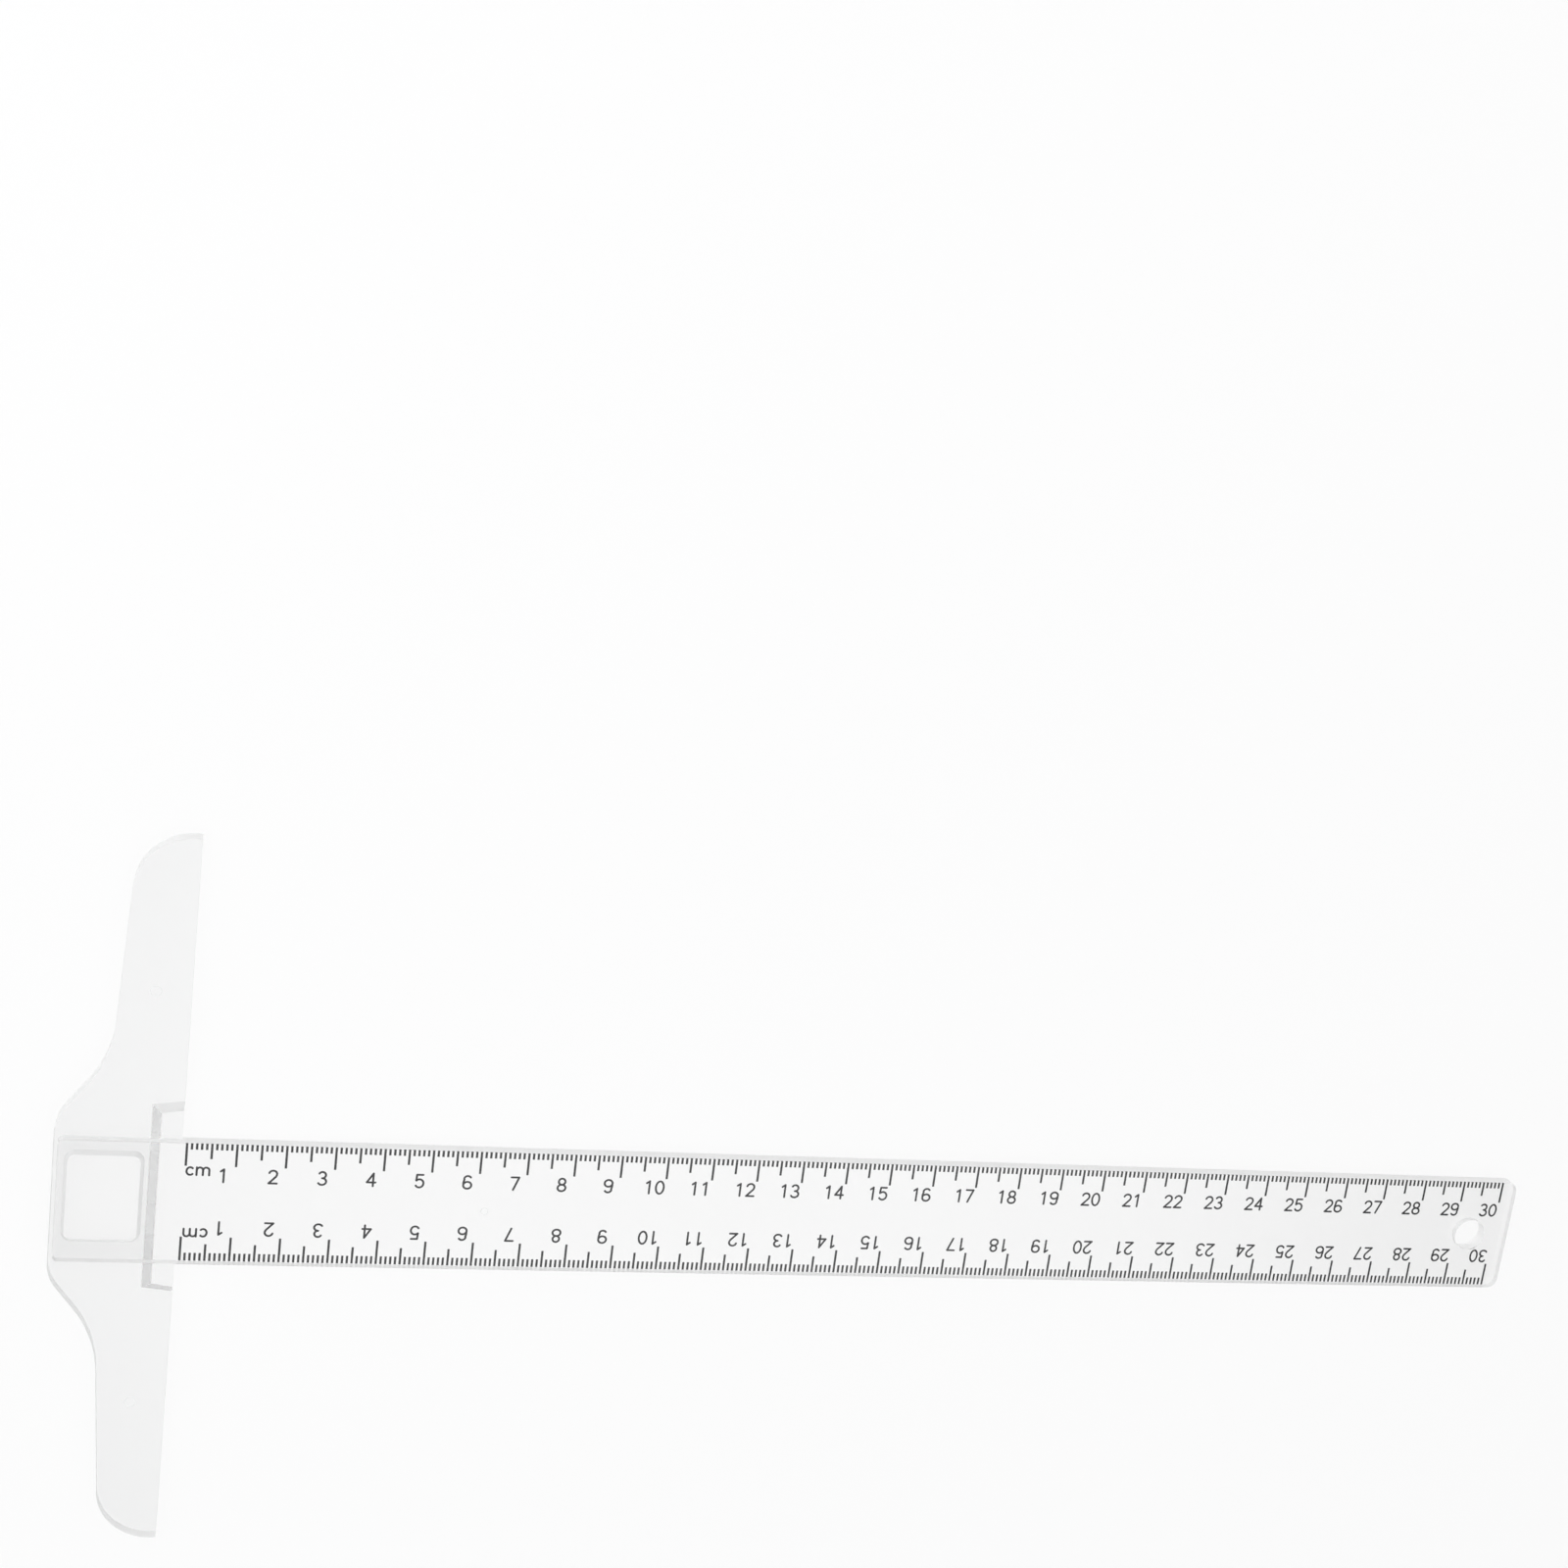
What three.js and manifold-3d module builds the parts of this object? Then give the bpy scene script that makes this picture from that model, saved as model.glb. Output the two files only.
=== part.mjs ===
// Small clear T-square: a head that runs along the edge of a drawing board and a 30 cm blade let
// into a channel across the head's middle and cemented there.
// Frame, in millimetres: the origin is the zero of the scale, on the blade's centre line and on its
// underside. +X runs along the blade away from the head, +Y across it, +Z up from the paper.
import * as THREE from 'three';
import { mergeVertices } from 'three/addons/utils/BufferGeometryUtils.js';
import Module from 'manifold-3d';

// Blade
const BLADE_WIDTH = 27;
const BLADE_THICKNESS = 2.8;
const BLADE_END = 303;
const BLADE_TAIL = -25;
const BLADE_END_RADIUS = 2.4;
const BLADE_TAIL_RADIUS = 1;
const HOLE_X = 293.2;
const HOLE_RADIUS = 3.7;

// Head
const HEAD_LENGTH = 155;
const HEAD_BACK = -26;
const GUIDE_EDGE = -1;
const HEAD_TOP = 2;
const HEAD_UNDERSIDE = -2;
const TIP_RADIUS = 11.5;
const TIP_FLAT = 1.2;

// Fit of the blade's tail in the head: the tail is narrower than the blade on each side by the side
// clearance and thinner by the cement gap, so that a small shoulder stops it at the guide edge
const SIDE_CLEARANCE = 0.1;
const CEMENT_GAP = 0.05;

// Window moulded through the channel's floor: its length along X and Y at the mouth below, and how
// far each wall leans in on its way up to the blade
const WINDOW_CENTRE_X = -16;
const WINDOW_LENGTH = 15.6;
const WINDOW_WIDTH = 20.2;
const WINDOW_RADIUS = 2.2;
const WINDOW_LEAN = 0.65;

// Relief under the head where the blade leaves it, open towards the guide edge
const RELIEF_BACK = -7.3;
const RELIEF_SLOPE = 2;
const RELIEF_HALF_BACK = 20.4;
const RELIEF_HALF_FRONT = 21.3;
const RELIEF_END_SLOPE = 1.5;

const OVERRUN = 1;
const ARC_STEPS = 24;

const wasm = await Module();
wasm.setup();

function solid(geometry) {
  const bare = geometry.clone();
  bare.deleteAttribute('normal');
  bare.deleteAttribute('uv');
  const merged = mergeVertices(bare, 1e-5);
  return new wasm.Manifold(new wasm.Mesh({
    numProp: 3,
    vertProperties: Float32Array.from(merged.attributes.position.array),
    triVerts: Uint32Array.from(merged.index.array),
  }));
}

function geometryOf(manifold) {
  const mesh = manifold.getMesh();
  const geometry = new THREE.BufferGeometry();
  geometry.setAttribute('position', new THREE.BufferAttribute(mesh.vertProperties, 3));
  geometry.setIndex(new THREE.BufferAttribute(mesh.triVerts, 1));
  geometry.computeVertexNormals();
  return geometry;
}

// A plate of the given outline from z = low to z = high
function plate(outline, low, high) {
  const geometry = new THREE.ExtrudeGeometry(outline, {
    depth: high - low,
    curveSegments: ARC_STEPS,
    bevelEnabled: false,
  });
  geometry.translate(0, 0, low);
  return solid(geometry);
}

function block(x0, x1, y0, y1, z0, z1) {
  const geometry = new THREE.BoxGeometry(x1 - x0, y1 - y0, z1 - z0);
  geometry.translate((x0 + x1) / 2, (y0 + y1) / 2, (z0 + z1) / 2);
  return solid(geometry);
}

// A prism from a lower outline to an upper one with the same number of points, both anticlockwise
function loft(lower, upper, low, high) {
  const count = lower.length;
  const positions = [];
  for (const point of lower) {
    positions.push(point.x, point.y, low);
  }
  for (const point of upper) {
    positions.push(point.x, point.y, high);
  }
  const index = [];
  for (const [a, b, c] of THREE.ShapeUtils.triangulateShape(lower, [])) {
    index.push(a, c, b);
    index.push(a + count, b + count, c + count);
  }
  for (let i = 0; i < count; i += 1) {
    const next = (i + 1) % count;
    index.push(i, next, next + count);
    index.push(i, next + count, i + count);
  }
  const geometry = new THREE.BufferGeometry();
  geometry.setAttribute('position', new THREE.Float32BufferAttribute(positions, 3));
  geometry.setIndex(index);
  return geometry;
}

// A rectangle from x0 to x1 and y0 to y1 with one corner radius at x0 and another at x1
function roundedRectangle(x0, x1, y0, y1, radius0, radius1) {
  const shape = new THREE.Shape();
  shape.moveTo(x0 + radius0, y0);
  shape.lineTo(x1 - radius1, y0);
  shape.absarc(x1 - radius1, y0 + radius1, radius1, -Math.PI / 2, 0, false);
  shape.lineTo(x1, y1 - radius1);
  shape.absarc(x1 - radius1, y1 - radius1, radius1, 0, Math.PI / 2, false);
  shape.lineTo(x0 + radius0, y1);
  shape.absarc(x0 + radius0, y1 - radius0, radius0, Math.PI / 2, Math.PI, false);
  shape.lineTo(x0, y0 + radius0);
  shape.absarc(x0 + radius0, y0 + radius0, radius0, Math.PI, 1.5 * Math.PI, false);
  return shape;
}

function outlinePoints(shape) {
  const points = shape.getPoints(ARC_STEPS);
  if (points[0].distanceTo(points[points.length - 1]) < 1e-6) {
    points.pop();
  }
  return points;
}

// The head in plan: a straight guide edge, ends turned by a quarter circle, arms that widen
// slightly towards the middle, and a hollow curve out to the deeper middle with rounded shoulders
function headOutline() {
  const tip = HEAD_LENGTH / 2;
  const armSide = GUIDE_EDGE - TIP_FLAT - TIP_RADIUS;
  const armRoot = { x: -15.3, y: 38 };
  const flank = { x: -20.5, y: 24.3 };
  const hollow = { x: -16, y: 30 };
  const shoulder = { x: -24, y: 19.8 };
  const crown = { x: HEAD_BACK, y: 17.2 };
  const middle = { x: HEAD_BACK, y: 14 };
  const shape = new THREE.Shape();
  shape.moveTo(GUIDE_EDGE, -tip);
  shape.lineTo(GUIDE_EDGE, tip);
  shape.lineTo(GUIDE_EDGE - TIP_FLAT, tip);
  shape.absarc(armSide + TIP_RADIUS, tip - TIP_RADIUS, TIP_RADIUS, Math.PI / 2, Math.PI, false);
  shape.lineTo(armRoot.x, armRoot.y);
  shape.quadraticCurveTo(hollow.x, hollow.y, flank.x, flank.y);
  shape.lineTo(shoulder.x, shoulder.y);
  shape.quadraticCurveTo(crown.x, crown.y, middle.x, middle.y);
  shape.lineTo(middle.x, -middle.y);
  shape.quadraticCurveTo(crown.x, -crown.y, shoulder.x, -shoulder.y);
  shape.lineTo(flank.x, -flank.y);
  shape.quadraticCurveTo(hollow.x, -hollow.y, armRoot.x, -armRoot.y);
  shape.lineTo(armSide, TIP_RADIUS - tip);
  shape.absarc(armSide + TIP_RADIUS, TIP_RADIUS - tip, TIP_RADIUS, Math.PI, 1.5 * Math.PI, false);
  return shape;
}

// The channel holds the blade at its full width and is open above and at the guide edge
function channelCut() {
  const half = BLADE_WIDTH / 2;
  const back = BLADE_TAIL - SIDE_CLEARANCE;
  const outline = roundedRectangle(
    back, OVERRUN, -half, half, BLADE_TAIL_RADIUS, BLADE_TAIL_RADIUS / 2);
  return plate(outline, 0, HEAD_TOP + OVERRUN);
}

function windowCut() {
  const outlineAt = (lean) => {
    const halfX = WINDOW_LENGTH / 2 - lean;
    const halfY = WINDOW_WIDTH / 2 - lean;
    const radius = WINDOW_RADIUS - lean;
    const x0 = WINDOW_CENTRE_X - halfX;
    const x1 = WINDOW_CENTRE_X + halfX;
    return outlinePoints(roundedRectangle(x0, x1, -halfY, halfY, radius, radius));
  };
  const walls = solid(loft(outlineAt(0), outlineAt(WINDOW_LEAN), HEAD_UNDERSIDE, 0));
  const mouth = solid(loft(outlineAt(0), outlineAt(0), HEAD_UNDERSIDE - OVERRUN, HEAD_UNDERSIDE));
  return walls.add(mouth);
}

// Four walls at about 45 degrees, mitred at the two inner corners, up to the blade's underside
function reliefCut() {
  const front = GUIDE_EDGE + OVERRUN;
  const outlineAt = (rise) => {
    const back = RELIEF_BACK + RELIEF_SLOPE * rise;
    const halfBack = RELIEF_HALF_BACK - RELIEF_END_SLOPE * rise;
    const halfFront = RELIEF_HALF_FRONT - RELIEF_END_SLOPE * rise;
    return [
      new THREE.Vector2(back, -halfBack),
      new THREE.Vector2(front, -halfFront),
      new THREE.Vector2(front, halfFront),
      new THREE.Vector2(back, halfBack),
    ];
  };
  const walls = solid(loft(outlineAt(0), outlineAt(1), HEAD_UNDERSIDE, 0));
  const mouth = solid(loft(outlineAt(0), outlineAt(0), HEAD_UNDERSIDE - OVERRUN, HEAD_UNDERSIDE));
  return walls.add(mouth);
}

function buildHead() {
  const shaped = plate(headOutline(), HEAD_UNDERSIDE, HEAD_TOP)
    .subtract(channelCut())
    .subtract(reliefCut())
    .subtract(windowCut());
  return geometryOf(shaped);
}

function buildBlade() {
  const half = BLADE_WIDTH / 2;
  const shoulder = GUIDE_EDGE + SIDE_CLEARANCE;
  const before = BLADE_TAIL - OVERRUN;
  const above = BLADE_THICKNESS + OVERRUN;
  const tailHalf = half - SIDE_CLEARANCE;
  const outline = roundedRectangle(
    BLADE_TAIL, BLADE_END, -half, half, BLADE_TAIL_RADIUS, BLADE_END_RADIUS);
  const hole = new THREE.Path();
  hole.absarc(HOLE_X, 0, HOLE_RADIUS, 0, 2 * Math.PI, true);
  outline.holes.push(hole);
  const shaped = plate(outline, 0, BLADE_THICKNESS)
    .subtract(block(before, shoulder, tailHalf, half + OVERRUN, -OVERRUN, above))
    .subtract(block(before, shoulder, -half - OVERRUN, -tailHalf, -OVERRUN, above))
    .subtract(block(before, shoulder, -half, half, -OVERRUN, CEMENT_GAP));
  return geometryOf(shaped);
}

function clearPlastic(color) {
  return new THREE.MeshStandardMaterial({
    color,
    roughness: 0.08,
    metalness: 0,
    transparent: true,
    opacity: 0.35,
  });
}

const head = new THREE.Mesh(buildHead(), clearPlastic(0xe6eaea));
head.name = 'head';

const blade = new THREE.Mesh(buildBlade(), clearPlastic(0xeef1f1));
blade.name = 'blade';

const tSquare = new THREE.Group();
tSquare.add(head, blade);

export default tSquare;
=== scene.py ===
"""A small clear T-square: a moulded head with a 30 cm blade cemented into it, and the scale printed
in black under the blade. Every length here is in metres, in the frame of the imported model: the zero
of the scale is the origin, +X runs along the blade and +Z is up."""
import math

import bmesh
import bpy
import numpy as np
from bpy.props import (
    FloatProperty,
    FloatVectorProperty,
    IntProperty,
    PointerProperty,
)
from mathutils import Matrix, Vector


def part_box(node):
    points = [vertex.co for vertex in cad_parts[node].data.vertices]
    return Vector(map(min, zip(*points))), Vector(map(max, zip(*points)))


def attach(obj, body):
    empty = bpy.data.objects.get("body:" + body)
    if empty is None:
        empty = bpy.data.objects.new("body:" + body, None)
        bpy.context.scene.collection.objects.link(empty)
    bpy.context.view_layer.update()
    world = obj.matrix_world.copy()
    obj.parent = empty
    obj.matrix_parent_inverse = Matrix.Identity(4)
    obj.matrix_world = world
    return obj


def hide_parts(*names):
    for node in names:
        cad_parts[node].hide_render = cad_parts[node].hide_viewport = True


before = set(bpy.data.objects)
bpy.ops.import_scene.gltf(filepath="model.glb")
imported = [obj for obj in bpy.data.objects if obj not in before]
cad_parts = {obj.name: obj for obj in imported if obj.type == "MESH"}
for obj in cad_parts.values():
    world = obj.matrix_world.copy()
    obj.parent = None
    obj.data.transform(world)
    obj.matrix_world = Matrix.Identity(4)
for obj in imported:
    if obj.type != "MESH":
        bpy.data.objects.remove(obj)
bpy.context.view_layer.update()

bl_info = {
    "name": "Clear T-square",
    "version": (1, 0, 0),
    "blender": (4, 5, 0),
    "location": "View3D > Sidebar > T-square",
    "description": "Builds a clear plastic T-square with a printed centimetre scale",
    "category": "Add Mesh",
}

MM = 0.001
BODY = "root"
BLADE_LOW, BLADE_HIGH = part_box("blade")
HEAD_LOW, HEAD_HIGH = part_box("head")
BLADE_HALF = BLADE_HIGH.y
GUIDE_EDGE = HEAD_HIGH.x

# How often light may turn inside the plastic, where it is held between the faces many times over
LIGHT_BOUNCES = 32

# Directions are unit vectors, and where a brightness changes is given as the cosine of the angle
# from its axis
OVERHEAD = (0.0, 0.0, 1.0)
DOME_CHANGE = (0.0, 0.45)
PATCH_AXIS = (0.2, -0.36, 0.911)
PATCH_CHANGE = (0.93, 1.0)

LAMP_SIDE = 3.5
KEY_PLACE = (-0.9, 1.0, 2.2)
FILL_PLACE = (1.2, -1.0, 2.0)


def length(name, description, millimetres):
    """A length property whose default is given in millimetres and kept in metres."""
    return FloatProperty(
        name=name,
        description=description,
        default=millimetres * MM,
        min=0.0,
        precision=5,
        unit="LENGTH",
    )


def colour(name, description, default):
    """A linear colour property."""
    return FloatVectorProperty(
        name=name,
        description=description,
        default=default,
        min=0.0,
        max=1.0,
        size=3,
        subtype="COLOR",
    )


class BladeSettings(bpy.types.PropertyGroup):
    """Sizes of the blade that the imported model's box doesn't say."""

    top_rounding: length("Top rounding", "Radius of the edges round the upper face", 0.16)
    base_rounding: length("Base rounding", "Radius of the edges round the underside", 0.06)
    lift: length("Lift", "Height of the underside over the head's channel floor", 0.02)
    end_corner: length("End corner", "Corner radius at the free end, in plan", 2.4)
    tail_corner: length("Tail corner", "Corner radius at the end inside the head, in plan", 1.0)
    tail_inset: length("Tail inset", "How much narrower each side is inside the head", 0.1)
    hole_radius: length("Hole radius", "Radius of the hanging hole", 3.7)
    hole_setback: length("Hole setback", "From the hole's centre to the free end", 9.8)


class HeadSettings(bpy.types.PropertyGroup):
    """Sizes of the head's finish."""

    edge_rounding: length("Edge rounding", "Radius along every moulded edge", 0.2)
    pin_mark_reach: length("Pin mark reach", "From the blade's centre line to a pin mark", 45.5)
    pin_mark_setback: length("Pin mark setback", "From the guide edge to a pin mark", 7.0)
    pin_mark_radius: length("Pin mark radius", "Radius of the ring left by an ejector pin", 1.1)
    gate_mark_place: length("Gate mark place", "Where the blade's gate mark is on the scale", 61.5)
    gate_mark_radius: length("Gate mark radius", "Radius of the gate mark's ring", 0.75)
    mark_height: length("Mark height", "How far a mould mark stands above the surface", 0.03)


class ScaleSettings(bpy.types.PropertyGroup):
    """Sizes of the printed scale."""

    centimetres: IntProperty(
        name="Centimetres",
        description="Length of the scale",
        default=30,
        min=1,
    )
    millimetre_line: length("Millimetre line", "Reach of a millimetre line from the edge", 2.0)
    half_line: length("Half line", "Reach of a half-centimetre line from the edge", 4.0)
    centimetre_line: length("Centimetre line", "Reach of a centimetre line from the edge", 5.6)
    line_width: length("Line width", "Width of a line of the scale", 0.48)
    line_start: length("Line start", "From the edge to the outer end of the lines", 0.07)
    numeral_row: length("Numeral row", "From the blade's centre line to a row of numerals", 5.9)
    numeral_lead: length("Numeral lead", "From a numeral's middle to the line it counts", 2.45)
    digit_pitch: length("Digit pitch", "Between the digits of one numeral", 2.4)
    pen_width: length("Pen width", "Width of the strokes of numerals and letters", 0.44)
    misprint: length("Misprint", "How far the print lies off the centre line, towards -Y", 0.16)
    ink_depth: length("Ink depth", "Height of the ink over the blade's underside", 0.01)
    ink_thickness: length("Ink thickness", "Thickness of the ink", 0.015)


class FinishSettings(bpy.types.PropertyGroup):
    """Colours of the plastic and the ink, and how its faces and walls treat light."""

    head_tint: colour("Head tint", "Colour of light that has passed the head", (0.955, 0.957, 0.957))
    blade_tint: colour("Blade tint", "Colour of light that has passed the blade", (0.965, 0.965, 0.965))
    ink: colour("Ink", "Colour of the printed scale", (0.008, 0.008, 0.009))
    shade: colour("Shade", "Light that reaches what lies under the plastic", (0.985, 0.985, 0.985))
    wall_roughness: FloatProperty(
        name="Wall roughness",
        description="How satin the walls between the polished faces are",
        default=0.4,
        min=0.0,
        max=1.0,
        subtype="FACTOR",
    )
    wall_frosting: FloatProperty(
        name="Wall frosting",
        description="Share of light that the upright walls scatter instead of passing it",
        default=0.8,
        min=0.0,
        max=1.0,
        subtype="FACTOR",
    )
    refraction: FloatProperty(
        name="Refractive index",
        description="Refractive index of the clear plastic",
        default=1.57,
        min=1.0,
        max=2.0,
    )


class StageSettings(bpy.types.PropertyGroup):
    """The floor, the light and the camera."""

    floor_reach: FloatProperty(
        name="Floor reach",
        description="Half the side of the floor",
        default=1.4,
        min=0.5,
        unit="LENGTH",
    )
    floor_colour: colour("Floor colour", "Colour of the floor", (0.9, 0.9, 0.9))
    backdrop: colour("Backdrop", "Colour beyond the floor", (0.983, 0.983, 0.983))
    key_power: FloatProperty(
        name="Key power",
        description="Power of the large soft light",
        default=61.0,
        min=0.0,
        unit="POWER",
    )
    fill_power: FloatProperty(
        name="Fill power",
        description="Power of the soft light from the other side",
        default=27.5,
        min=0.0,
        unit="POWER",
    )
    dome: FloatProperty(
        name="Dome",
        description="Brightness of the dome overhead",
        default=0.4,
        min=0.0,
    )
    horizon: FloatProperty(
        name="Horizon",
        description="Brightness of the dome at the horizon",
        default=0.7,
        min=0.0,
    )
    patch: FloatProperty(
        name="Patch",
        description="How much brighter the dome is where the blade mirrors it",
        default=1.05,
        min=0.0,
    )
    lens: FloatProperty(
        name="Lens",
        description="Focal length of the camera for a 36 mm sensor",
        default=51.3,
        min=1.0,
        unit="CAMERA",
    )
    camera_place: FloatVectorProperty(
        name="Camera place",
        description="Where the camera stands",
        default=(0.0049, 0.2061, 0.4366),
        size=3,
        subtype="TRANSLATION",
        unit="LENGTH",
    )
    camera_turn: FloatVectorProperty(
        name="Camera turn",
        description="How the camera is turned",
        default=(math.radians(-15.375), math.radians(-12.23), math.radians(7.448)),
        size=3,
        subtype="EULER",
        unit="ROTATION",
    )


# Meshes from arrays


def signed_volume(points, quads):
    """Sum of the volumes of the tetrahedra from the origin to the two triangles of each quad."""
    a, b, c, d = (points[quads[:, k]] for k in range(4))
    first = np.einsum("ij,ij->i", a, np.cross(b, c)).sum()
    second = np.einsum("ij,ij->i", a, np.cross(c, d)).sum()
    return (first + second) / 6


def add_mesh(name, points, quads, normals=None):
    """A mesh object with its faces turned outwards. Given normals are those of the true surface at
    the points, so that a coarse grid is still shaded as the curve it stands for."""
    quads = np.asarray(quads)
    if signed_volume(points - points.mean(axis=0), quads) < 0:
        quads = quads[:, ::-1]
    mesh = bpy.data.meshes.new(name)
    mesh.from_pydata(points.tolist(), [], quads.tolist())
    if normals is None:
        mesh.shade_flat()
    else:
        mesh.shade_smooth()
        mesh.normals_split_custom_set_from_vertices(normals.tolist())
    if mesh.validate(verbose=False):
        raise RuntimeError(f"{name} came out as a faulty mesh")
    made = bpy.data.objects.new(name, mesh)
    bpy.context.scene.collection.objects.link(made)
    return made


def ring_quads(rows, columns, close_rows=True, close_columns=True):
    """Quads of a grid of rows by columns, closed on itself in either direction."""
    row = np.arange(rows if close_rows else rows - 1)[:, None]
    column = np.arange(columns if close_columns else columns - 1)[None, :]
    next_row = (row + 1) % rows
    next_column = (column + 1) % columns
    corners = [
        row * columns + column,
        row * columns + next_column,
        next_row * columns + next_column,
        next_row * columns + column,
    ]
    return np.stack([c.ravel() for c in corners], axis=1)


def place(piece, slot, material):
    """Gives a finished piece its material and the body it rides on. The slot is not used."""
    piece.data.materials.clear()
    piece.data.materials.append(material)
    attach(piece, BODY)
    return piece


# Materials


def new_material(name):
    """An empty node material with its output, and a function that adds a node to it."""
    material = bpy.data.materials.new(name)
    material.use_nodes = True
    tree = material.node_tree
    tree.nodes.clear()
    output = tree.nodes.new("ShaderNodeOutputMaterial")

    def add(kind, **inputs):
        node = tree.nodes.new(kind)
        for key, value in inputs.items():
            node.inputs[key.replace("_", " ")].default_value = value
        return node

    return material, tree, output, add


def clear_plastic(name, tint, grain_turn):
    """Clear moulded plastic: faint waves left by the flow in the mould, a fine haze that varies
    over the surface, and hairline scratches from use along grain_turn. The faces that lie flat are
    polished, and the upright walls between them are satin and scatter part of the light. Light on
    its way to what lies below passes the plastic straight."""
    finish = bpy.context.scene.tsquare_finish
    material, tree, output, add = new_material(name)
    link = tree.links.new
    surface = add("ShaderNodeTexCoord")
    place_on = surface.outputs["Object"]

    waves = add("ShaderNodeTexNoise", Scale=90.0, Detail=2.0, Roughness=0.4)
    link(place_on, waves.inputs["Vector"])

    turned = add("ShaderNodeMapping")
    turned.inputs["Rotation"].default_value = (0.0, 0.0, grain_turn)
    turned.inputs["Scale"].default_value = (25.0, 1500.0, 25.0)
    link(place_on, turned.inputs["Vector"])
    hairs = add("ShaderNodeTexNoise", Scale=1.0, Detail=3.0, Roughness=0.6)
    link(turned.outputs["Vector"], hairs.inputs["Vector"])
    scratch = add("ShaderNodeMapRange", From_Min=0.66, From_Max=0.72, To_Min=0.0, To_Max=1.0)
    link(hairs.outputs["Fac"], scratch.inputs["Value"])

    haze = add("ShaderNodeTexNoise", Scale=420.0, Detail=4.0, Roughness=0.6)
    link(place_on, haze.inputs["Vector"])
    hazed = add("ShaderNodeMapRange", From_Min=0.35, From_Max=0.75, To_Min=0.0, To_Max=0.02)
    link(haze.outputs["Fac"], hazed.inputs["Value"])
    polished = add("ShaderNodeMath")
    polished.operation = "MULTIPLY_ADD"
    polished.inputs[1].default_value = 0.04
    link(scratch.outputs["Result"], polished.inputs[0])
    link(hazed.outputs["Result"], polished.inputs[2])

    facing = add("ShaderNodeSeparateXYZ")
    link(surface.outputs["Normal"], facing.inputs["Vector"])
    flatness = add("ShaderNodeMath")
    flatness.operation = "ABSOLUTE"
    link(facing.outputs["Z"], flatness.inputs[0])
    satin = add("ShaderNodeMapRange", From_Min=0.9, From_Max=0.6, To_Min=0.0)
    satin.inputs["To Max"].default_value = finish.wall_roughness
    link(flatness.outputs["Value"], satin.inputs["Value"])
    roughness = add("ShaderNodeMath")
    roughness.operation = "ADD"
    link(polished.outputs["Value"], roughness.inputs[0])
    link(satin.outputs["Result"], roughness.inputs[1])

    wavy = add("ShaderNodeBump", Strength=0.35, Distance=0.00002)
    link(waves.outputs["Fac"], wavy.inputs["Height"])
    scratched = add("ShaderNodeBump", Strength=0.15, Distance=0.000004)
    scratched.invert = True
    link(scratch.outputs["Result"], scratched.inputs["Height"])
    link(wavy.outputs["Normal"], scratched.inputs["Normal"])

    plastic = add("ShaderNodeBsdfPrincipled", IOR=finish.refraction)
    plastic.inputs["Base Color"].default_value = (*tint, 1.0)
    clearness = add("ShaderNodeMapRange", From_Min=0.35, From_Max=0.65, To_Max=1.0)
    clearness.inputs["To Min"].default_value = 1.0 - finish.wall_frosting
    link(flatness.outputs["Value"], clearness.inputs["Value"])
    link(clearness.outputs["Result"], plastic.inputs["Transmission Weight"])
    link(roughness.outputs["Value"], plastic.inputs["Roughness"])
    link(scratched.outputs["Normal"], plastic.inputs["Normal"])

    lamp_way = add("ShaderNodeBsdfTransparent")
    lamp_way.inputs["Color"].default_value = (*finish.shade, 1.0)
    ray = add("ShaderNodeLightPath")
    passing = add("ShaderNodeMath")
    passing.operation = "MAXIMUM"
    link(ray.outputs["Is Shadow Ray"], passing.inputs[0])
    link(ray.outputs["Is Diffuse Ray"], passing.inputs[1])
    mixed = add("ShaderNodeMixShader")
    link(passing.outputs["Value"], mixed.inputs["Fac"])
    link(plastic.outputs["BSDF"], mixed.inputs[1])
    link(lamp_way.outputs["BSDF"], mixed.inputs[2])
    link(mixed.outputs["Shader"], output.inputs["Surface"])
    return material


def printed_ink():
    """Screen-printed ink: near black, thinner in small patches, with a dull uneven surface."""
    finish = bpy.context.scene.tsquare_finish
    material, tree, output, add = new_material("scale_ink")
    link = tree.links.new
    place_on = add("ShaderNodeTexCoord").outputs["Object"]

    patches = add("ShaderNodeTexNoise", Scale=1300.0, Detail=3.0, Roughness=0.6)
    link(place_on, patches.inputs["Vector"])
    thin = add("ShaderNodeMapRange", From_Min=0.45, From_Max=0.8, To_Min=0.0, To_Max=1.0)
    link(patches.outputs["Fac"], thin.inputs["Value"])
    shades = add("ShaderNodeMix")
    shades.data_type = "RGBA"
    colour_in = [s for s in shades.inputs if s.type == "RGBA"]
    colour_in[0].default_value = (*finish.ink, 1.0)
    colour_in[1].default_value = (*(5.0 * c for c in finish.ink), 1.0)
    link(thin.outputs["Result"], shades.inputs["Factor"])
    dull = add("ShaderNodeMapRange", From_Min=0.3, From_Max=0.7, To_Min=0.45, To_Max=0.7)
    link(patches.outputs["Fac"], dull.inputs["Value"])
    grain = add("ShaderNodeBump", Strength=0.3, Distance=0.000003)
    link(patches.outputs["Fac"], grain.inputs["Height"])

    ink = add("ShaderNodeBsdfPrincipled")
    link([s for s in shades.outputs if s.type == "RGBA"][0], ink.inputs["Base Color"])
    link(dull.outputs["Result"], ink.inputs["Roughness"])
    link(grain.outputs["Normal"], ink.inputs["Normal"])
    link(ink.outputs["BSDF"], output.inputs["Surface"])
    return material


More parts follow.
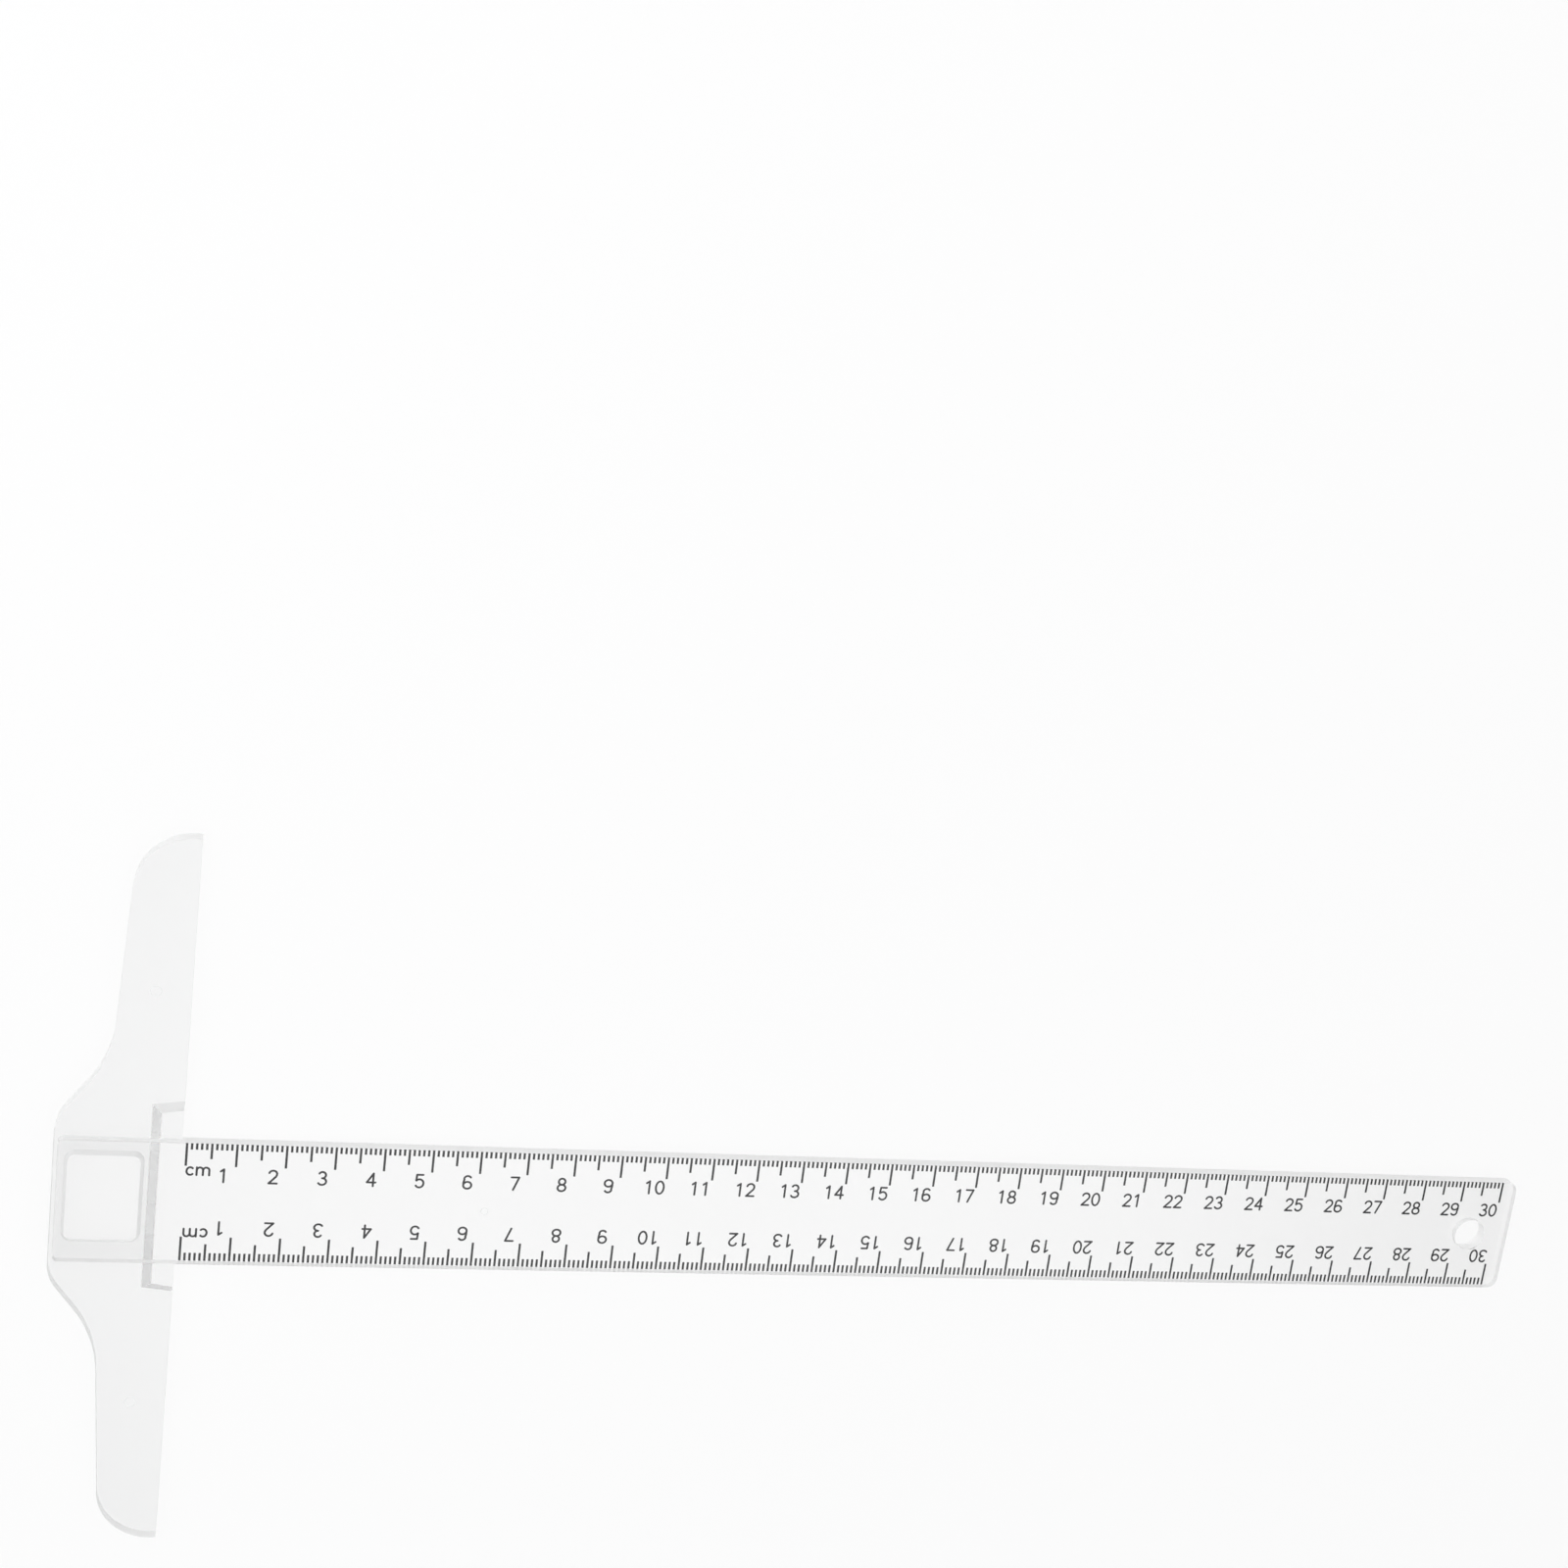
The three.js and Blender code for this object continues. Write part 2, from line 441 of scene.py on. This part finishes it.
def floor_paper():
    """Smooth pale card with the faintest unevenness."""
    stage = bpy.context.scene.tsquare_stage
    material, tree, output, add = new_material("floor_paper")
    link = tree.links.new
    place_on = add("ShaderNodeTexCoord").outputs["Object"]
    fibres = add("ShaderNodeTexNoise", Scale=600.0, Detail=3.0, Roughness=0.6)
    link(place_on, fibres.inputs["Vector"])
    rise = add("ShaderNodeBump", Strength=0.05, Distance=0.00002)
    link(fibres.outputs["Fac"], rise.inputs["Height"])
    paper = add("ShaderNodeBsdfPrincipled", Roughness=1.0)
    paper.inputs["Base Color"].default_value = (*stage.floor_colour, 1.0)
    paper.inputs["Specular IOR Level"].default_value = 0.0
    link(rise.outputs["Normal"], paper.inputs["Normal"])
    link(paper.outputs["BSDF"], output.inputs["Surface"])
    return material


# Blade


def arc_points(centre, radius, start, end, steps):
    """Points of an arc from start to end degrees with the outward direction at each."""
    turn = np.radians(np.linspace(start, end, steps + 1))
    outward = np.stack([np.cos(turn), np.sin(turn)], axis=1)
    return np.asarray(centre) + radius * outward, outward


def blade_outline(blade, centre_x):
    """The blade in plan, as points with outward directions, anticlockwise round the hole's centre:
    four corner arcs, the shoulders at the guide edge, and where rays every five degrees from the
    hole's centre meet the long sides, at half / tan(angle), and the free end, at tan(angle) times
    its distance. A ray closer than spare to an end corner is left out."""
    half = BLADE_HALF
    tail_half = half - blade.tail_inset
    end = BLADE_HIGH.x
    tail = BLADE_LOW.x
    r_end = blade.end_corner
    r_tail = blade.tail_corner
    shoulder = GUIDE_EDGE + blade.tail_inset
    corners = [
        arc_points((end - r_end, r_end - half), r_end, -90, 0, 10),
        arc_points((end - r_end, half - r_end), r_end, 0, 90, 10),
        arc_points((tail + r_tail, tail_half - r_tail), r_tail, 90, 180, 8),
        arc_points((tail + r_tail, r_tail - tail_half), r_tail, 180, 270, 8),
    ]
    rays = np.radians(np.arange(-175.0, 180.0, 5.0))
    spare = 0.02
    first = np.arctan2(half, end - r_end - centre_x) + spare
    last = np.arctan2(half, shoulder - centre_x)
    side_rays = rays[(np.abs(rays) > first) & (np.abs(rays) < last)]
    side = np.sign(side_rays)
    on_side = np.stack([centre_x + half / np.tan(np.abs(side_rays)), side * half], axis=1)
    side_out = np.stack([np.zeros_like(side), side], axis=1)
    end_rays = rays[np.abs(rays) < np.arctan2(half - r_end, end - centre_x) - spare]
    on_end = np.stack([np.full_like(end_rays, end), (end - centre_x) * np.tan(end_rays)], axis=1)
    end_out = np.stack([np.ones_like(end_rays), np.zeros_like(end_rays)], axis=1)
    step = 0.05 * MM
    shoulders = np.array([
        [shoulder, half],
        [shoulder - step, tail_half],
        [shoulder, -half],
        [shoulder - step, -tail_half],
    ])
    shoulder_out = np.array([[0.0, 1.0], [0.0, 1.0], [0.0, -1.0], [0.0, -1.0]])
    points = np.concatenate([c[0] for c in corners] + [on_side, on_end, shoulders])
    outward = np.concatenate([c[1] for c in corners] + [side_out, end_out, shoulder_out])
    order = np.argsort(np.arctan2(points[:, 1], points[:, 0] - centre_x))
    return points[order], outward[order]


def edge_section(low, high, base_radius, top_radius, steps=6):
    """Section of a rounded wall from the underside up to the upper face: distance in from the wall,
    height, and the normal's share along the wall's outward direction and along Z. A quarter circle
    at each end joins the wall to the flat face."""
    turn = np.linspace(0.0, math.pi / 2, steps + 1)
    base = np.stack([
        base_radius * (1 - np.sin(turn)),
        low + base_radius * (1 - np.cos(turn)),
        np.sin(turn),
        -np.cos(turn),
    ], axis=1)
    top = np.stack([
        top_radius * (1 - np.cos(turn)),
        high - top_radius * (1 - np.sin(turn)),
        np.cos(turn),
        np.sin(turn),
    ], axis=1)
    return np.concatenate([base, top])


def blade_surface(blade):
    """The blade as one grid. A column stands for each point of the outline. Its rows go up the
    hole's wall at the same bearing from the hole's centre, out over the upper face, down the outer
    wall and back along the underside, so the grid closes on itself both ways."""
    centre = np.array([BLADE_HIGH.x - blade.hole_setback, 0.0])
    outline, outward = blade_outline(blade, centre[0])
    section = edge_section(
        BLADE_LOW.z + blade.lift, BLADE_HIGH.z, blade.base_rounding, blade.top_rounding)
    bearing = outline - centre
    bearing /= np.linalg.norm(bearing, axis=1, keepdims=True)
    inset, height, across, upward = (section[:, k][:, None, None] for k in range(4))
    hole_plan = centre + bearing * (blade.hole_radius + inset)
    hole_normal = -bearing * across
    rim_plan = (outline - outward * inset)[::-1]
    rim_normal = (outward * across)[::-1]
    plan = np.concatenate([hole_plan, rim_plan])
    flat_normal = np.concatenate([hole_normal, rim_normal])
    every_column = np.ones((1, len(outline), 1))
    z = np.concatenate([height, height[::-1]]) * every_column
    normal_z = np.concatenate([upward, upward[::-1]]) * every_column
    points = np.concatenate([plan, z], axis=2)
    normals = np.concatenate([flat_normal, normal_z], axis=2)
    return points.reshape(-1, 3), normals.reshape(-1, 3), ring_quads(len(points), len(outline))


class TSQUARE_OT_blade(bpy.types.Operator):
    """Make the clear blade with its rounded edges and its hanging hole"""

    bl_idname = "tsquare.blade"
    bl_label = "Make blade"

    def execute(self, context):
        blade = context.scene.tsquare_blade
        points, normals, quads = blade_surface(blade)
        piece = add_mesh("blade_moulding", points, quads, normals)
        tint = context.scene.tsquare_finish.blade_tint
        place(piece, "blade_plastic", clear_plastic("blade_plastic", tint, 0.0))
        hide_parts("blade")
        return {"FINISHED"}


# Head


def merged_copy(node, name):
    """A CAD node's mesh as a new object, with its loose triangles joined at their corners and
    flat neighbours made one face."""
    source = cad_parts.get(node)
    if source is None:
        raise RuntimeError(f"the frame has no node {node}")
    body = bmesh.new()
    body.from_mesh(source.data)
    bmesh.ops.remove_doubles(body, verts=body.verts, dist=0.002 * MM)
    bmesh.ops.dissolve_limit(
        body, angle_limit=math.radians(0.5), verts=body.verts, edges=body.edges)
    mesh = bpy.data.meshes.new(name)
    body.to_mesh(mesh)
    body.free()
    mesh.shade_smooth()
    made = bpy.data.objects.new(name, mesh)
    bpy.context.scene.collection.objects.link(made)
    return made


class TSQUARE_OT_head(bpy.types.Operator):
    """Make the clear head with every moulded edge rounded"""

    bl_idname = "tsquare.head"
    bl_label = "Make head"

    def execute(self, context):
        head = context.scene.tsquare_head
        piece = merged_copy("head", "head_moulding")
        bevel = piece.modifiers.new("edge_rounding", "BEVEL")
        bevel.width = head.edge_rounding
        bevel.segments = 4
        bevel.limit_method = "ANGLE"
        bevel.angle_limit = math.radians(25.0)
        bevel.face_strength_mode = "FSTR_ALL"
        shading = piece.modifiers.new("flat_faces", "WEIGHTED_NORMAL")
        shading.use_face_influence = True
        shading.weight = 100
        tint = context.scene.tsquare_finish.head_tint
        place(piece, "head_plastic", clear_plastic("head_plastic", tint, math.radians(90.0)))
        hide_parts("head")
        return {"FINISHED"}


# Printed scale


def print_base(scale):
    """Height of the ink's lower face: the blade's underside, and the ink's depth above it."""
    return BLADE_LOW.z + bpy.context.scene.tsquare_blade.lift + scale.ink_depth


def graduation_boxes(scale, side):
    """A thin box for each millimetre from zero to the end. The line reaches in from the edge by a
    length that depends on whether its number divides by ten, by five or by neither. All lines are
    moved sideways by the misprint, and none passes the edge."""
    count = np.arange(10 * scale.centimetres + 1)
    reach = np.where(
        count % 10 == 0,
        scale.centimetre_line,
        np.where(count % 5 == 0, scale.half_line, scale.millimetre_line),
    )
    corner = np.array([[x, y, z] for x in (-0.5, 0.5) for y in (0.0, 1.0) for z in (0.0, 1.0)])
    outer = BLADE_HALF - scale.line_start
    inner = BLADE_HALF - reach
    x = count[:, None] * MM + corner[:, 0] * scale.line_width
    y = side * (outer + (inner[:, None] - outer) * corner[:, 1]) - scale.misprint
    y = np.clip(y, -outer, outer)
    z = np.broadcast_to(print_base(scale) + corner[:, 2] * scale.ink_thickness, x.shape)
    points = np.stack([x, y, z], axis=2).reshape(-1, 3)
    faces = np.array([
        [0, 1, 3, 2],
        [4, 6, 7, 5],
        [0, 4, 5, 1],
        [2, 3, 7, 6],
        [0, 2, 6, 4],
        [1, 5, 7, 3],
    ])
    quads = (8 * count[:, None, None] + faces).reshape(-1, 4)
    return points, quads


def place_print(name, points, quads, ink):
    """Adds a piece of the print. It is a film too thin to shade the floor, so soft light passes."""
    piece = add_mesh(name, points, quads)
    piece.visible_shadow = False
    piece.visible_diffuse = False
    return place(piece, None, ink)


class TSQUARE_OT_graduations(bpy.types.Operator):
    """Print the lines of the scale along both edges of the blade"""

    bl_idname = "tsquare.graduations"
    bl_label = "Print graduations"

    def execute(self, context):
        scale = context.scene.tsquare_scale
        ink = printed_ink()
        for name, side in (("graduations_upper", 1), ("graduations_lower", -1)):
            points, quads = graduation_boxes(scale, side)
            place_print(name, points, quads, ink)
        return {"FINISHED"}


# Lettering. A glyph is a list of pen strokes on a cell 2 mm wide and 3.2 mm high with its middle
# at (0, 0). A line is given by its two ends, and an arc by its centre, its two radii, and the
# degrees where it starts and ends. Consecutive parts of one stroke join smoothly.


def line(x0, y0, x1, y1):
    """Points of a straight pen movement, in millimetres."""
    return np.array([[x0, y0], [x1, y1]])


def arc(x, y, radius_x, radius_y, start, end):
    """Points of an elliptical pen movement: (x + rx cos t, y + ry sin t), in millimetres."""
    steps = max(4, int(abs(end - start) / 12))
    turn = np.radians(np.linspace(start, end, steps + 1))
    return np.stack([x + radius_x * np.cos(turn), y + radius_y * np.sin(turn)], axis=1)


def joined(*parts):
    """One stroke from parts that follow each other."""
    return np.concatenate(parts)


SIX = [
    joined(arc(0, 0.72, 0.76, 0.72, 35, 175), arc(2.6, -0.4, 3.45, 3.45, 161, 178)),
    arc(0, -0.66, 0.85, 0.78, 90, 450),
]
GLYPHS = {
    "0": [arc(0, 0, 0.85, 1.44, 90, 450)],
    "1": [line(-0.5, 0.95, 0.1, 1.4), line(0.12, 1.42, 0.12, -1.44)],
    "2": [
        joined(arc(0, 0.68, 0.8, 0.76, 165, -30), line(0.62, 0.12, -0.82, -1.42)),
        line(-0.82, -1.42, 0.85, -1.42),
    ],
    "3": [
        arc(-0.03, 0.74, 0.72, 0.7, 150, -90),
        arc(-0.03, -0.7, 0.85, 0.74, 90, -150),
    ],
    "4": [
        line(0.42, -1.44, 0.42, 1.42),
        line(0.42, 1.42, -0.86, -0.6),
        line(-0.86, -0.6, 0.9, -0.6),
    ],
    "5": [
        line(0.68, 1.42, -0.6, 1.42),
        line(-0.6, 1.42, -0.7, 0.12),
        arc(-0.02, -0.52, 0.86, 0.92, 138, -145),
    ],
    "6": SIX,
    "7": [line(-0.8, 1.42, 0.82, 1.42), line(0.82, 1.42, -0.28, -1.44)],
    "8": [arc(0, 0.74, 0.7, 0.7, 90, 450), arc(0, -0.7, 0.85, 0.74, 90, 450)],
    "9": [-stroke for stroke in SIX],
    "c": [arc(0, 0, 0.72, 0.84, 48, 312)],
    "m": [
        line(-1.25, 0.84, -1.25, -0.84),
        joined(arc(-0.62, 0.22, 0.62, 0.62, 180, 0), line(0, 0.15, 0, -0.84)),
        joined(arc(0.63, 0.22, 0.62, 0.62, 180, 0), line(1.25, 0.15, 1.25, -0.84)),
    ],
}


def pen_ribbon(path, width, low, high):
    """A flat strip of the pen's width along a path, from z = low to z = high. Each point of the
    path is moved half the width to either side. Beyond an open end the half width falls off as a
    quarter circle, so the end is round. A path that ends where it starts is closed on itself."""
    closed = np.allclose(path[0], path[-1])
    if closed:
        path = path[:-1]
        along = np.roll(path, -1, axis=0) - np.roll(path, 1, axis=0)
    else:
        along = np.gradient(path, axis=0)
    along /= np.linalg.norm(along, axis=1, keepdims=True)
    half = np.full(len(path), width / 2)
    if not closed:
        turn = np.radians([22.5, 45.0, 67.5, 84.0])
        beyond = (width / 2 * np.sin(turn))[:, None]
        path = np.concatenate([
            (path[0] - along[0] * beyond)[::-1], path, path[-1] + along[-1] * beyond])
        shrinking = width / 2 * np.cos(turn)
        half = np.concatenate([shrinking[::-1], half, shrinking])
        ends = np.ones((len(turn), 1))
        along = np.concatenate([ends * along[0], along, ends * along[-1]])
    across = np.stack([-along[:, 1], along[:, 0]], axis=1) * half[:, None]
    left, right = path + across, path - across
    corners = [(left, low), (right, low), (right, high), (left, high)]
    points = np.stack(
        [np.column_stack([edge, np.full(len(edge), z)]) for edge, z in corners], axis=1)
    rows = len(points)
    quads = ring_quads(rows, 4, close_rows=closed)
    if not closed:
        last = 4 * (rows - 1)
        quads = np.concatenate([quads, [[3, 2, 1, 0], [last, last + 1, last + 2, last + 3]]])
    return points.reshape(-1, 3), quads


def lettering(letters, scale):
    """One mesh of all the strokes of letters, a list of (glyph, x, y, side). Side -1 turns the
    glyph half way round."""
    base = print_base(scale)
    all_points, all_quads, count = [], [], 0
    for glyph, x, y, side in letters:
        for stroke in GLYPHS[glyph]:
            path = np.array([x, y - scale.misprint]) + side * stroke * MM
            points, quads = pen_ribbon(path, scale.pen_width, base, base + scale.ink_thickness)
            if signed_volume(points, quads) < 0:
                quads = quads[:, ::-1]
            all_points.append(points)
            all_quads.append(quads + count)
            count += len(points)
    return np.concatenate(all_points), np.concatenate(all_quads)


def numeral_letters(scale, side):
    """Every numeral of one row as (glyph, x, y, side). A numeral's middle is one lead before its
    line, and its digits are a pitch apart, in reading order for that side."""
    letters = []
    for number in range(1, scale.centimetres + 1):
        text = str(number)
        middle = number * 10 * MM - scale.numeral_lead
        for index, glyph in enumerate(text):
            shift = (index - (len(text) - 1) / 2) * scale.digit_pitch
            letters.append((glyph, middle + side * shift, side * scale.numeral_row, side))
    return letters


# The unit of each row: the row's name and side, then in millimetres where its c and its m stand
# along the blade, and how much nearer the edge than the numerals they are
UNITS = [
    ("upper", 1, 0.95, 3.5, 0.85),
    ("lower", -1, 4.35, 1.7, 1.05),
]


class TSQUARE_OT_lettering(bpy.types.Operator):
    """Print the numerals and the unit of both rows of the scale"""

    bl_idname = "tsquare.lettering"
    bl_label = "Print numerals"

    def execute(self, context):
        scale = context.scene.tsquare_scale
        ink = bpy.data.materials.get("scale_ink")
        if ink is None:
            raise RuntimeError("the graduations are printed before the numerals")
        for name, side, c_place, m_place, rise in UNITS:
            points, quads = lettering(numeral_letters(scale, side), scale)
            place_print(f"numerals_{name}", points, quads, ink)
            row = side * (scale.numeral_row + rise * MM)
            unit = [("c", c_place * MM, row, side), ("m", m_place * MM, row, side)]
            points, quads = lettering(unit, scale)
            place_print(f"unit_{name}", points, quads, ink)
        return {"FINISHED"}


# Mould marks


def bead_ring(x, y, z, radius, bead):
    """A ring lying on a surface at height z: a circle of radius R round (x, y) swept by a small
    half-round bead of radius r, ((R + r cos v) cos u, (R + r cos v) sin u, max(r sin v, 0)). Its
    foot is held a twentieth of r above the surface, so the two faces don't coincide."""
    around = np.linspace(0, 2 * math.pi, 48, endpoint=False)[None, :]
    section = np.linspace(0, 2 * math.pi, 12, endpoint=False)[:, None]
    out = radius + bead * np.cos(section)
    rise = bead * (0.05 + np.maximum(np.sin(section), 0.0))
    points = np.stack([
        x + out * np.cos(around),
        y + out * np.sin(around),
        z + rise * np.ones_like(around),
    ], axis=2)
    return points.reshape(-1, 3), ring_quads(12, 48)


class TSQUARE_OT_mould_marks(bpy.types.Operator):
    """Add the rings that ejector pins left on the head's arms and the gate left on the blade"""

    bl_idname = "tsquare.mould_marks"
    bl_label = "Add mould marks"

    def execute(self, context):
        head = context.scene.tsquare_head
        pin_x = GUIDE_EDGE - head.pin_mark_setback
        reach = head.pin_mark_reach
        top, over = HEAD_HIGH.z, BLADE_HIGH.z
        marks = [
            ("pin_mark_upper", pin_x, reach, top, head.pin_mark_radius, "head_plastic"),
            ("pin_mark_lower", pin_x, -reach, top, head.pin_mark_radius, "head_plastic"),
            ("gate_mark", head.gate_mark_place, 0.0, over, head.gate_mark_radius, "blade_plastic"),
        ]
        for name, x, y, z, radius, slot in marks:
            points, quads = bead_ring(x, y, z, radius, head.mark_height)
            piece = add_mesh(name, points, quads)
            piece.data.shade_smooth()
            place(piece, slot, bpy.data.materials[slot])
        return {"FINISHED"}


# Stage


def studio_world(stage):
    """A dome that grows brighter from overhead down to the horizon, with a bright patch that the
    blade mirrors. It is what the plastic reflects. The camera itself sees the plain backdrop."""
    world = bpy.data.worlds.new("studio")
    bpy.context.scene.world = world
    world.use_nodes = True
    tree = world.node_tree
    tree.nodes.clear()
    link = tree.links.new
    direction = tree.nodes.new("ShaderNodeTexCoord").outputs["Generated"]

    def glow(axis, change, far, near):
        """Brightness that goes smoothly from far to near as a direction turns to the axis."""
        towards = tree.nodes.new("ShaderNodeVectorMath")
        towards.operation = "DOT_PRODUCT"
        link(direction, towards.inputs[0])
        towards.inputs[1].default_value = axis
        rise = tree.nodes.new("ShaderNodeMapRange")
        rise.interpolation_type = "SMOOTHSTEP"
        rise.inputs["From Min"].default_value = change[0]
        rise.inputs["From Max"].default_value = change[1]
        rise.inputs["To Min"].default_value = far
        rise.inputs["To Max"].default_value = near
        link(towards.outputs["Value"], rise.inputs["Value"])
        return rise.outputs["Result"]

    dome = glow(OVERHEAD, DOME_CHANGE, stage.horizon, stage.dome)
    patch = glow(PATCH_AXIS, PATCH_CHANGE, 0.0, stage.patch)
    total = tree.nodes.new("ShaderNodeMath")
    total.operation = "ADD"
    link(dome, total.inputs[0])
    link(patch, total.inputs[1])
    lit = tree.nodes.new("ShaderNodeBackground")
    link(total.outputs["Value"], lit.inputs["Strength"])
    plain = tree.nodes.new("ShaderNodeBackground")
    plain.inputs["Color"].default_value = (*stage.backdrop, 1.0)
    ray = tree.nodes.new("ShaderNodeLightPath")
    mixed = tree.nodes.new("ShaderNodeMixShader")
    link(ray.outputs["Is Camera Ray"], mixed.inputs["Fac"])
    link(lit.outputs["Background"], mixed.inputs[1])
    link(plain.outputs["Background"], mixed.inputs[2])
    output = tree.nodes.new("ShaderNodeOutputWorld")
    link(mixed.outputs["Shader"], output.inputs["Surface"])


def soft_light(name, place, power):
    """A large square soft light, turned to the origin. It lights the floor and the ink and doesn't
    show in the plastic."""
    source = bpy.data.lights.new(name, "AREA")
    source.shape = "SQUARE"
    source.size = LAMP_SIDE
    source.energy = power
    lamp = bpy.data.objects.new(name, source)
    lamp.location = place
    lamp.rotation_euler = (-lamp.location).to_track_quat("-Z", "Y").to_euler()
    lamp.visible_glossy = False
    lamp.visible_transmission = False
    bpy.context.scene.collection.objects.link(lamp)


class TSQUARE_OT_stage(bpy.types.Operator):
    """Set up the pale floor, the soft light and the camera"""

    bl_idname = "tsquare.stage"
    bl_label = "Set up stage"

    def execute(self, context):
        stage = context.scene.tsquare_stage
        reach = stage.floor_reach
        level = HEAD_LOW.z - 0.02 * MM
        side = np.linspace(-reach, reach, 9)
        x, y = np.meshgrid(side, side)
        points = np.stack([x, y, np.full_like(x, level)], axis=2).reshape(-1, 3)
        mesh = bpy.data.meshes.new("floor")
        mesh.from_pydata(points.tolist(), [], ring_quads(9, 9, False, False).tolist())
        floor = bpy.data.objects.new("floor", mesh)
        context.scene.collection.objects.link(floor)
        mesh.materials.append(floor_paper())
        studio_world(stage)
        soft_light("key_light", KEY_PLACE, stage.key_power)
        soft_light("fill_light", FILL_PLACE, stage.fill_power)
        lens = bpy.data.cameras.new("camera")
        lens.sensor_width = 36.0
        lens.lens = stage.lens
        camera = bpy.data.objects.new("camera", lens)
        camera.location = stage.camera_place
        camera.rotation_euler = stage.camera_turn
        context.scene.collection.objects.link(camera)
        context.scene.camera = camera
        context.scene.view_settings.view_transform = "Standard"
        context.scene.cycles.max_bounces = LIGHT_BOUNCES
        context.scene.cycles.glossy_bounces = LIGHT_BOUNCES
        context.scene.cycles.transmission_bounces = LIGHT_BOUNCES
        return {"FINISHED"}


class TSQUARE_PT_parts(bpy.types.Panel):
    """Lists the sizes and the making of each piece"""

    bl_label = "Clear T-square"
    bl_idname = "TSQUARE_PT_parts"
    bl_space_type = "VIEW_3D"
    bl_region_type = "UI"
    bl_category = "T-square"

    def draw(self, context):
        for title, settings, operators in SECTIONS:
            box = self.layout.box()
            box.label(text=title)
            group = getattr(context.scene, settings)
            for key in group.__annotations__:
                box.prop(group, key)
            for operator in operators:
                box.operator(operator.bl_idname)


SECTIONS = [
    ("Finish", "tsquare_finish", []),
    ("Blade", "tsquare_blade", [TSQUARE_OT_blade]),
    ("Head", "tsquare_head", [TSQUARE_OT_head, TSQUARE_OT_mould_marks]),
    ("Scale", "tsquare_scale", [TSQUARE_OT_graduations, TSQUARE_OT_lettering]),
    ("Stage", "tsquare_stage", [TSQUARE_OT_stage]),
]
SETTINGS = {
    "tsquare_finish": FinishSettings,
    "tsquare_blade": BladeSettings,
    "tsquare_head": HeadSettings,
    "tsquare_scale": ScaleSettings,
    "tsquare_stage": StageSettings,
}
OPERATORS = [operator for section in SECTIONS for operator in section[2]]


def register():
    for name, group in SETTINGS.items():
        bpy.utils.register_class(group)
        setattr(bpy.types.Scene, name, PointerProperty(type=group))
    for operator in OPERATORS:
        bpy.utils.register_class(operator)
    bpy.utils.register_class(TSQUARE_PT_parts)


def unregister():
    bpy.utils.unregister_class(TSQUARE_PT_parts)
    for operator in reversed(OPERATORS):
        bpy.utils.unregister_class(operator)
    for name, group in SETTINGS.items():
        delattr(bpy.types.Scene, name)
        bpy.utils.unregister_class(group)


def main():
    register()
    bpy.ops.tsquare.stage()
    bpy.ops.tsquare.blade()
    bpy.ops.tsquare.head()
    bpy.ops.tsquare.graduations()
    bpy.ops.tsquare.lettering()
    bpy.ops.tsquare.mould_marks()


if __name__ == "__main__":
    main()
